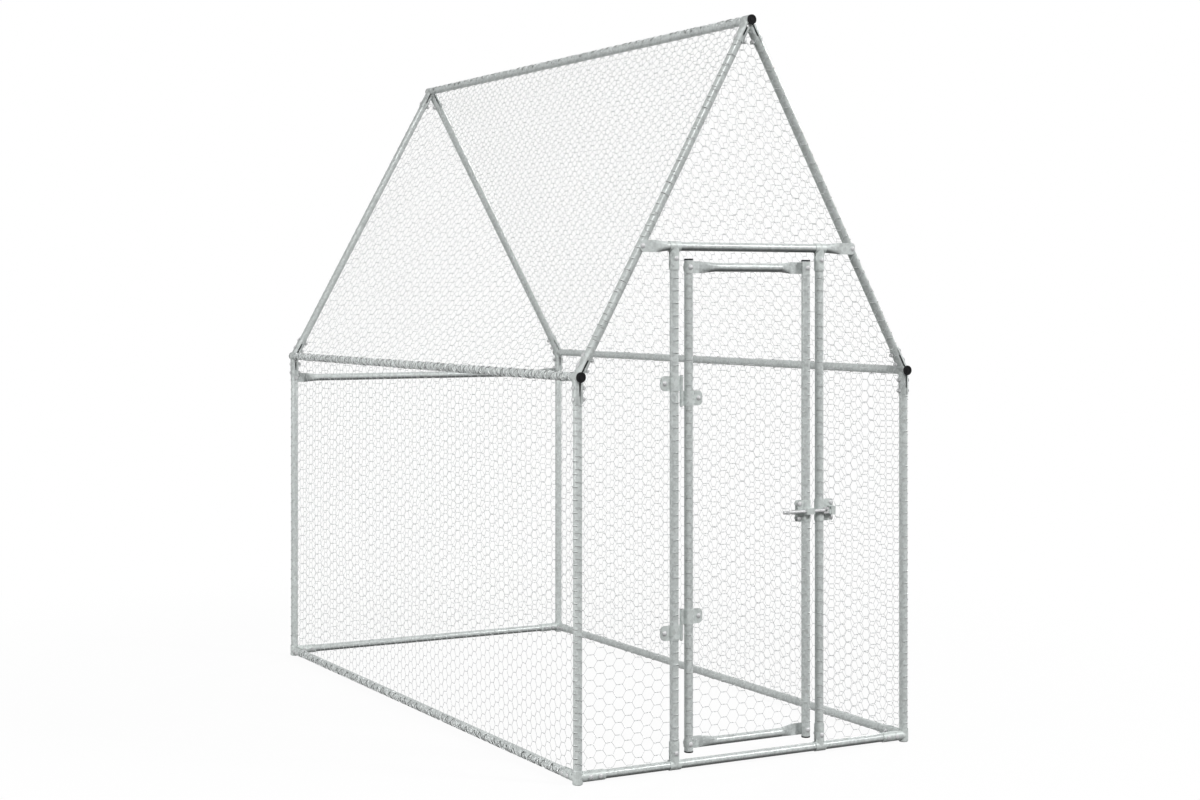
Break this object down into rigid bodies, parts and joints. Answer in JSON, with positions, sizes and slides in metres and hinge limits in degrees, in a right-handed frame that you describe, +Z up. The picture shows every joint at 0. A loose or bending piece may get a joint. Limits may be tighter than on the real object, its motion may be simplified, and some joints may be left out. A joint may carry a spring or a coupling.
{
  "type": "chicken cage",
  "caption": "House-shaped walk-in poultry run: a round steel tube frame with a steep gable roof, hexagonal wire netting on all sides and a hinged front door with a slide bolt.",
  "frame": {"origin": "middle of the floor plan, at the level of the posts' feet", "axes": "+X to the right seen from the door side, +Y from the door side to the rear, +Z up"},
  "size_m": [1.0104, 2.0284, 1.8898],
  "materials": {
    "zinc_tube": "galvanised, satin",
    "zinc_fitting": "galvanised sheet",
    "netting_wire": "galvanised wire",
    "plated_hardware": "zinc plated",
    "black_plastic": "moulded, matt"
  },
  "bodies": {
    "frame": {"base_bracket_inners": "zinc_fitting", "door_header": "zinc_tube", "eave_bracket_inners": "zinc_fitting", "frame_bolts": "plated_hardware", "front_gable_net": "netting_wire", "front_left_base_bracket": "zinc_fitting", "front_left_eave_bracket": "zinc_fitting", "front_left_net": "netting_wire", "front_left_post": "zinc_tube", "front_left_rafter": "zinc_tube", "front_ridge_bracket": "zinc_fitting", "front_right_base_bracket": "zinc_fitting", "front_right_eave_bracket": "zinc_fitting", "front_right_net": "netting_wire", "front_right_post": "zinc_tube", "front_right_rafter": "zinc_tube", "front_sill": "zinc_tube", "hinge_pins": "plated_hardware", "latch_keep": "zinc_fitting", "left_bottom_rail": "zinc_tube", "left_door_jamb": "zinc_tube", "left_eave_rail": "zinc_tube", "left_roof_net": "netting_wire", "left_wall_net": "netting_wire", "lower_hinge_jamb_leaf": "zinc_fitting", "lower_jamb_clamps": "zinc_fitting", "rail_end_caps": "black_plastic", "rear_cross_rail": "zinc_tube", "rear_left_base_bracket": "zinc_fitting", "rear_left_eave_bracket": "zinc_fitting", "rear_left_post": "zinc_tube", "rear_left_rafter": "zinc_tube", "rear_net": "netting_wire", "rear_ridge_bracket": "zinc_fitting", "rear_right_base_bracket": "zinc_fitting", "rear_right_eave_bracket": "zinc_fitting", "rear_right_post": "zinc_tube", "rear_right_rafter": "zinc_tube", "rear_sill": "zinc_tube", "ridge_bracket_inners": "zinc_fitting", "ridge_pole": "zinc_tube", "right_bottom_rail": "zinc_tube", "right_door_jamb": "zinc_tube", "right_eave_rail": "zinc_tube", "right_roof_net": "netting_wire", "right_wall_net": "netting_wire", "upper_hinge_jamb_leaf": "zinc_fitting", "upper_jamb_clamps": "zinc_fitting"},
    "door": {"door_bolts": "plated_hardware", "door_bottom_rail": "zinc_tube", "door_net": "netting_wire", "door_top_rail": "zinc_tube", "latch_clamp": "zinc_fitting", "left_door_stile": "zinc_tube", "lower_hinge_stile_leaf": "zinc_fitting", "right_door_stile": "zinc_tube", "stile_end_caps": "black_plastic", "upper_hinge_stile_leaf": "zinc_fitting"},
    "slide_bolt": {"slide_bolt": "plated_hardware"}
  },
  "joints": [
    {"name": "door_hinge", "type": "hinge", "parent": "frame", "child": "door", "pos_m": [-0.197, -0.9889, 0.6535], "axis": [0, 0, -1], "range_deg": [0, 85]},
    {"name": "bolt_slide", "type": "slide", "parent": "door", "child": "slide_bolt", "axis": [1, 0, 0], "range_m": [0, 0.053]}
  ]
}
